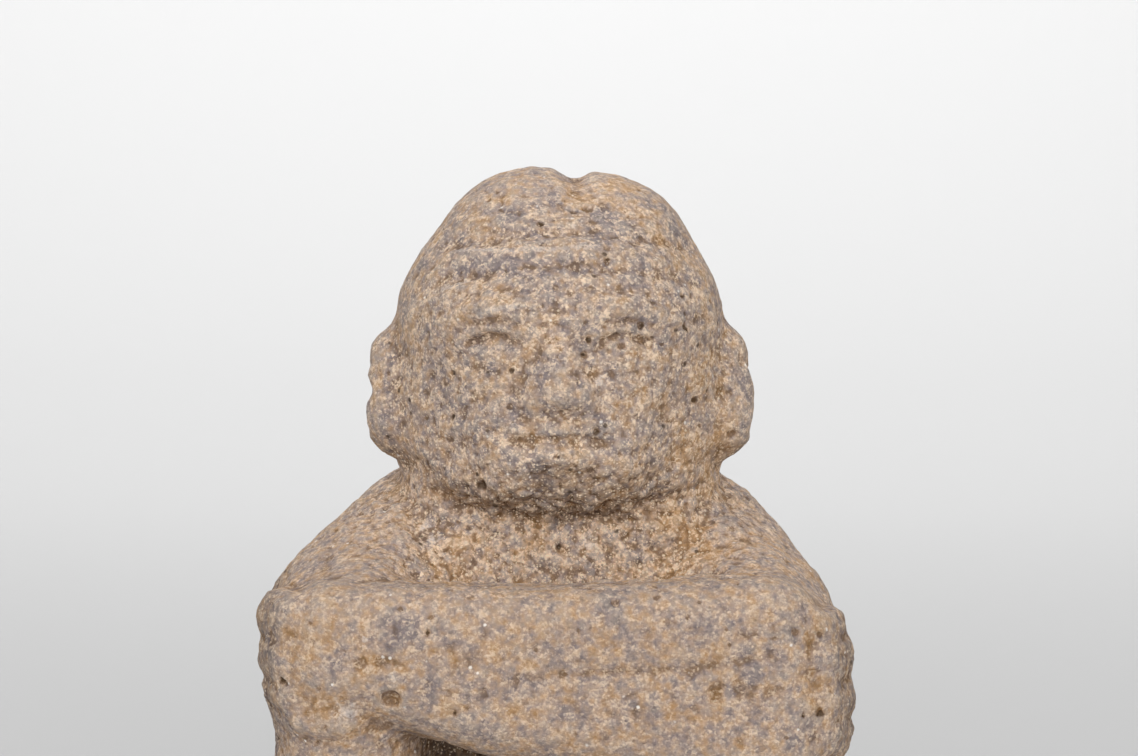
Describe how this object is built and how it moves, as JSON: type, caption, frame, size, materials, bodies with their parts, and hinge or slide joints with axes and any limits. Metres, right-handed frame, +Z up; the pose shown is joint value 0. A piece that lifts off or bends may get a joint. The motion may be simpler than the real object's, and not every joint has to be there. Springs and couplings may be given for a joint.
{
  "type": "shaman figure",
  "caption": "Seated stone shaman figure with folded arms on drawn-up knees, carved in one piece with a low base that stands on any flat surface.",
  "frame": {"origin": "middle of the flat underside of the base", "axes": "+Z up, the figure faces -Y, +X towards its left hand"},
  "size_m": [0.096, 0.075, 0.1402],
  "materials": {
    "stone": "rough, grainy, worn"
  },
  "bodies": {
    "root": {"shaman_figure": "stone"}
  },
  "joints": []
}
